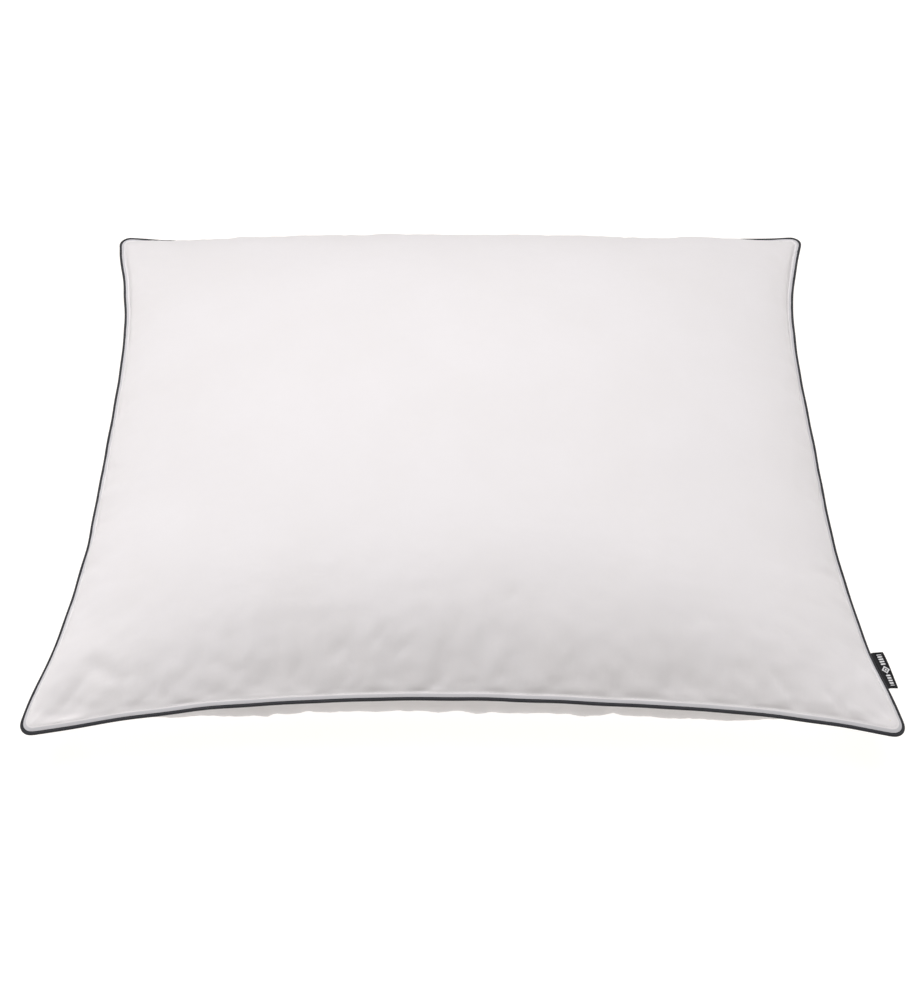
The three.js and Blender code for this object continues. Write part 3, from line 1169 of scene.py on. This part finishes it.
def cord_material():
    """Unbleached cotton filler cord, with fibres running along its strands."""
    material, tree, surface = new_material("cotton_cord")
    place = add_node(tree, "ShaderNodeTexCoord").outputs["Object"]
    fibres = add_node(
        tree, "ShaderNodeTexNoise", {"Vector": place, "Scale": 2600.0, "Detail": 3.0}
    ).outputs["Fac"]
    tone = use_group(tree, CLOTH_TONE, {"Vector": place, "Size": 0.02})
    colour = colour_mix(tree, fibres, (0.70, 0.64, 0.53, 1), (0.80, 0.75, 0.65, 1))
    colour = colour_mix(tree, maths(tree, "MULTIPLY", tone["Tone"], 0.3), colour, (0.62, 0.56, 0.45, 1))
    link(tree, colour, surface.inputs["Base Color"])
    link(tree, maths(tree, "MULTIPLY_ADD", fibres, 0.15, 0.78), surface.inputs["Roughness"])
    link(tree, bump(tree, fibres, 0.0001, 0.5), surface.inputs["Normal"])
    return material


def thread_material():
    """White polyester thread with the fine twist of its plies, and painted shade in the grooves between them.
    """
    material, tree, surface = new_material("white_thread")
    place = add_node(tree, "ShaderNodeTexCoord").outputs["Object"]
    plies = add_node(
        tree, "ShaderNodeTexWave",
        {"Vector": mapped(tree, place, turn=0.6), "Scale": 900.0, "Distortion": 1.5, "Detail": 1.0},
        bands_direction="DIAGONAL",
    ).outputs["Fac"]
    tone = use_group(tree, CLOTH_TONE, {"Vector": place, "Size": 0.03})
    # Painted shade: the colour follows the plies' relief and is darker in the grooves between them.
    colour = colour_mix(tree, plies, (0.70, 0.69, 0.69, 1), (0.80, 0.79, 0.79, 1))
    colour = colour_mix(tree, maths(tree, "MULTIPLY", tone["Tone"], 0.3), colour, (0.74, 0.72, 0.71, 1))
    link(tree, colour, surface.inputs["Base Color"])
    link(tree, maths(tree, "MULTIPLY_ADD", plies, -0.12, 0.55), surface.inputs["Roughness"])
    link(tree, bump(tree, plies, 0.00006, 0.5), surface.inputs["Normal"])
    surface.inputs["Sheen Weight"].default_value = 0.1
    return material


def filling_material():
    """Down clusters: soft pale tufts with shadow between them."""
    material, tree, surface = new_material("down")
    place = add_node(tree, "ShaderNodeTexCoord").outputs["Object"]
    tufts = add_node(
        tree, "ShaderNodeTexVoronoi", {"Vector": place, "Scale": 70.0}, feature="SMOOTH_F1"
    ).outputs["Distance"]
    fluff = add_node(
        tree, "ShaderNodeTexNoise",
        {"Vector": place, "Scale": 240.0, "Detail": 8.0, "Roughness": 0.7, "Distortion": 1.2},
    ).outputs["Fac"]
    tone = use_group(tree, CLOTH_TONE, {"Vector": place, "Size": 0.06})
    colour = colour_mix(tree, tufts, (0.88, 0.85, 0.79, 1), (0.66, 0.62, 0.55, 1))
    colour = colour_mix(tree, maths(tree, "MULTIPLY", fluff, 0.5), colour, (0.93, 0.91, 0.87, 1))
    colour = colour_mix(tree, maths(tree, "MULTIPLY", tone["Tone"], 0.2), colour, (0.60, 0.57, 0.52, 1))
    link(tree, colour, surface.inputs["Base Color"])
    link(tree, maths(tree, "MULTIPLY_ADD", fluff, 0.1, 0.88), surface.inputs["Roughness"])
    tufted = bump(tree, tufts, 0.004, 0.6)
    link(tree, bump(tree, fluff, 0.001, 0.7, tufted), surface.inputs["Normal"])
    surface.inputs["Sheen Weight"].default_value = 0.4
    return material


def within(tree, value, centre, half):
    """1 where a value is within a half width of a centre, and 0 elsewhere."""
    off = maths(tree, "ABSOLUTE", maths(tree, "SUBTRACT", value, centre))
    return maths(tree, "LESS_THAN", off, half)


def both(tree, first, second):
    return maths(tree, "MULTIPLY", first, second)


def either(tree, first, second):
    return maths(tree, "MAXIMUM", first, second)


def label_motif(tree, along, out):
    """A plain woven ornament: a diamond between two rows of short upright bars."""
    across = maths(tree, "SUBTRACT", out, 0.0049)
    distance = maths(tree, "ABSOLUTE", along)
    span = maths(tree, "ADD", distance, maths(tree, "ABSOLUTE", across))
    ring = both(tree, maths(tree, "LESS_THAN", span, 0.0036), maths(tree, "GREATER_THAN", span, 0.0021))
    dot = maths(tree, "LESS_THAN", span, 0.0011)
    row = both(tree, within(tree, distance, 0.0095, 0.0050), within(tree, across, 0.0, 0.0020))
    gaps = maths(tree, "LESS_THAN", maths(tree, "MODULO", distance, 0.0023), 0.0014)
    return either(tree, either(tree, ring, dot), both(tree, row, gaps))


def label_material():
    """Black satin weave, with a plain ornament woven in white."""
    material, tree, surface = new_material("label_satin")
    cloth = uv_map(tree, "cut")
    axes = add_node(tree, "ShaderNodeSeparateXYZ", {0: cloth}).outputs
    from_fold = maths(tree, "ABSOLUTE", axes["Y"])
    motif = label_motif(tree, axes["X"], from_fold)
    ribs = add_node(
        tree, "ShaderNodeTexWave", {"Vector": cloth, "Scale": 620.0, "Distortion": 0.4},
        bands_direction="Y",
    ).outputs["Fac"]
    tone = use_group(tree, CLOTH_TONE, {"Vector": cloth, "Size": 0.01})
    # Painted shade: the colour follows the ribs' relief and is darker in the grooves between them, in the black
    # and in the white.
    black = colour_mix(tree, ribs, (0.004, 0.004, 0.005, 1), (0.010, 0.010, 0.012, 1))
    black = colour_mix(tree, maths(tree, "MULTIPLY", tone["Mottle"], 0.25), black, (0.015, 0.015, 0.017, 1))
    white = colour_mix(tree, ribs, (0.66, 0.66, 0.67, 1), (0.84, 0.84, 0.85, 1))
    link(tree, colour_mix(tree, motif, black, white), surface.inputs["Base Color"])
    link(tree, maths(tree, "MULTIPLY_ADD", ribs, 0.15, 0.50), surface.inputs["Roughness"])
    raised = maths(tree, "ADD", maths(tree, "MULTIPLY", ribs, 0.6), maths(tree, "MULTIPLY", motif, 0.4))
    link(tree, bump(tree, raised, 0.00006, 0.6), surface.inputs["Normal"])
    surface.inputs["Specular IOR Level"].default_value = 0.22
    return material


def finish_with(piece, material):
    piece.data.materials.clear()
    piece.data.materials.append(material)


# ---------------------------------------------------------------- floor, light and camera

CAMERA_TILT = math.radians(48.63)
CAMERA_TURN = math.radians(0.895)
CAMERA_ROLL = math.radians(0.784)
CAMERA_DISTANCE = 1.4422
CAMERA_TARGET = Vector((0.0016, -0.0534, 0.05))
CAMERA_LENS = 60.4


def make_camera():
    turn = Matrix.Rotation(-CAMERA_TURN, 3, "Z")
    back = turn @ Vector((0, -math.cos(CAMERA_TILT), math.sin(CAMERA_TILT)))
    level = turn @ Vector((1, 0, 0))
    upright = turn @ Vector((0, math.sin(CAMERA_TILT), math.cos(CAMERA_TILT)))
    right = level * math.cos(CAMERA_ROLL) + upright * math.sin(CAMERA_ROLL)
    up = upright * math.cos(CAMERA_ROLL) - level * math.sin(CAMERA_ROLL)
    lens = bpy.data.cameras.new("camera")
    lens.lens = CAMERA_LENS
    camera = bpy.data.objects.new("camera", lens)
    bpy.context.scene.collection.objects.link(camera)
    turned = Matrix((right, up, back)).transposed().to_4x4()
    turned.translation = turn @ CAMERA_TARGET + back * CAMERA_DISTANCE
    camera.matrix_world = turned
    bpy.context.scene.camera = camera


def make_floor():
    bpy.ops.object.select_all(action="DESELECT")
    bpy.ops.mesh.primitive_plane_add(size=14, location=(0, 0, -0.0004))
    floor = bpy.context.object
    floor.name = "floor"
    material, _, surface = new_material("pale_floor")
    surface.inputs["Base Color"].default_value = (0.26, 0.25, 0.24, 1)
    surface.inputs["Roughness"].default_value = 0.9
    surface.inputs["Specular IOR Level"].default_value = 0.1
    surface.inputs["Emission Color"].default_value = (1.0, 0.98, 0.955, 1)
    surface.inputs["Emission Strength"].default_value = 0.90
    finish_with(floor, material)


def add_softbox(name, place, aim, size, watts, colour):
    light = bpy.data.lights.new(name, "AREA")
    light.shape = "RECTANGLE"
    light.size, light.size_y = size
    light.energy = watts
    light.color = colour
    lamp = bpy.data.objects.new(name, light)
    bpy.context.scene.collection.objects.link(lamp)
    lamp.location = place
    lamp.rotation_euler = (Vector(aim) - Vector(place)).to_track_quat("-Z", "Y").to_euler()


def make_light():
    add_softbox("softbox_over", (-0.1, 0.16, 2.2), (0, 0, 0.1), (2.2, 1.6), 48, (1.0, 0.985, 0.99))
    add_softbox("softbox_left", (-2.2, 0.1, 1.1), (0, 0, 0.1), (1.6, 1.4), 17, (1.0, 0.985, 0.995))
    add_softbox("softbox_right", (2.2, 0.1, 1.1), (0, 0, 0.1), (1.6, 1.4), 12, (1.0, 0.985, 0.995))
    world = bpy.data.worlds.new("studio")
    world.use_nodes = True
    world.node_tree.nodes["Background"].inputs["Color"].default_value = (1.0, 0.99, 0.98, 1)
    world.node_tree.nodes["Background"].inputs["Strength"].default_value = 0.05
    bpy.context.scene.world = world
    bpy.context.scene.view_settings.view_transform = "Standard"


# ---------------------------------------------------------------- putting it together


def add_piece(piece, body, slot, material, *nodes):
    """Gives a finished piece its material and its body, and hides the CAD nodes it stands for."""
    finish_with(piece, material)
    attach(piece, body)
    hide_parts(*nodes)
    return piece


def add_label(material):
    strip = make_label()
    finish_with(strip, material)
    centre, outward, _, _ = label_frame()
    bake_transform(strip)
    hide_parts("label")
    return strip


def build():
    make_camera()
    make_floor()
    make_light()
    ticking = ticking_material()
    thread = thread_material()

    upper, lower = stuff_case()
    filling = add_piece(make_filling(upper, lower), "pillow", "filling", filling_material(), "fill")

    top, top_line = make_panel("ticking_top", upper, 1, shape_top)
    base, base_line = make_panel("ticking_base", lower, -1, shape_base)
    add_piece(top, "pillow", "ticking", ticking, "top_panel")
    add_piece(base, "pillow", "ticking", ticking, "bottom_panel")

    sleeve = add_piece(
        make_piping_sleeve(), "pillow", "piping_cloth", piping_material(), "piping_sleeve"
    )
    add_piece(make_piping_cord(), "pillow", "filler_cord", cord_material(), "piping_cord")
    seam = make_stitches("seam_stitches", seam_line(SEAM_THREAD_INSET), SEAM_STITCH_THICKNESS)
    add_piece(seam, "pillow", "white_thread", thread, "seam_thread")
    top_run = make_stitches("top_stitches", top_line, STITCH_THICKNESS)
    add_piece(top_run, "pillow", "white_thread", thread, "top_stitching")
    base_run = make_stitches("base_stitches", base_line, STITCH_THICKNESS)
    add_piece(base_run, "pillow", "white_thread", thread, "bottom_stitching")
    strip = add_label(label_material())


build()
